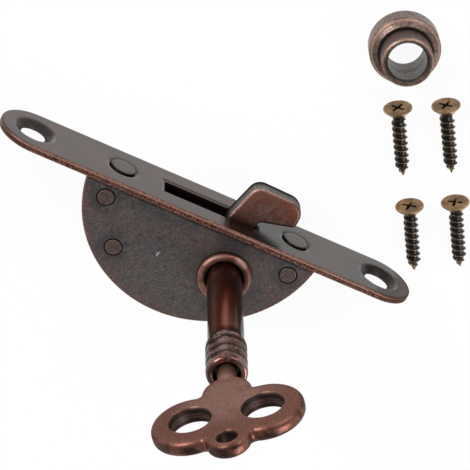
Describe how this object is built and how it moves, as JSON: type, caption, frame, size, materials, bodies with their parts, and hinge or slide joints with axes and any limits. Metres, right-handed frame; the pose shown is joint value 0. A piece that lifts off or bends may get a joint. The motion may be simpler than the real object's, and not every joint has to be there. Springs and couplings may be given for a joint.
{
  "type": "half-round hook bolt lock",
  "caption": "Half-round surface lock with a slotted faceplate, swinging hook bolt and pipe key, with a loose keyhole collar and wood screws.",
  "frame": {"origin": "on the faceplate's back face, midway between its two screw holes", "axes": "+Y out of the faceplate's face, where the hook stands out; X along the faceplate's length; +Z the way the key is drawn out of the case"},
  "size_m": [0.0989, 0.0754, 0.077],
  "materials": {
    "faceplate_copper": "satin antique red-copper plate over iron, rubbed copper edges",
    "case_copper": "mottled dark antique copper, rubbed copper rim",
    "bush_copper": "rubbed red copper",
    "stud_copper": "dark antique copper, satin",
    "bolt_copper": "mottled red-brown antique copper, dark rounded edges",
    "key_copper": "glossy dark red-brown antique copper",
    "collar_bronze": "bronze-brown, satin",
    "screw_bronze": "antique bronze heads, dark threads",
    "inner_steel": "plain oiled steel, hidden inside the case"
  },
  "bodies": {
    "lock": {"faceplate": "faceplate_copper", "back_pan": "case_copper", "cap_plate": "case_copper", "keyhole_eyelet": "bush_copper", "eyelet_washer": "inner_steel", "tenon_block_left": "stud_copper", "tenon_block_right": "stud_copper", "rivet_upper_left": "stud_copper", "rivet_lower_left": "stud_copper", "rivet_upper_right": "stud_copper", "rivet_lower_right": "stud_copper", "sleeve_lower_left": "inner_steel", "sleeve_lower_right": "inner_steel", "pivot_bush": "inner_steel", "drill_pin": "inner_steel", "drag_spring": "inner_steel", "stop_locked": "inner_steel", "stop_open": "inner_steel"},
    "hook": {"hook_bolt": "bolt_copper"},
    "key": {"key_barrel": "key_copper", "key_bow": "key_copper"},
    "collar": {"collar": "collar_bronze"},
    "screw_1": {"screw_1": "screw_bronze"},
    "screw_2": {"screw_2": "screw_bronze"},
    "screw_3": {"screw_3": "screw_bronze"},
    "screw_4": {"screw_4": "screw_bronze"}
  },
  "joints": [
    {"name": "hook_swing", "type": "hinge", "parent": "lock", "child": "hook", "pos_m": [0.00812, -0.0089, 0], "axis": [0, 0, 1], "range_deg": [0, 92]},
    {"name": "key_draw", "type": "slide", "parent": "hook", "child": "key", "axis": [0, 0, 1], "range_m": [0, 0.03]},
    {"name": "collar_lift", "type": "slide", "parent": "lock", "child": "collar", "axis": [0, 0, 1], "range_m": [0, 0.03]},
    {"name": "screw_1_lift", "type": "slide", "parent": "lock", "child": "screw_1", "axis": [0, 0, 1], "range_m": [0, 0.03]},
    {"name": "screw_2_lift", "type": "slide", "parent": "lock", "child": "screw_2", "axis": [0, 0, 1], "range_m": [0, 0.03]},
    {"name": "screw_3_lift", "type": "slide", "parent": "lock", "child": "screw_3", "axis": [0, 0, 1], "range_m": [0, 0.03]},
    {"name": "screw_4_lift", "type": "slide", "parent": "lock", "child": "screw_4", "axis": [0, 0, 1], "range_m": [0, 0.03]}
  ]
}
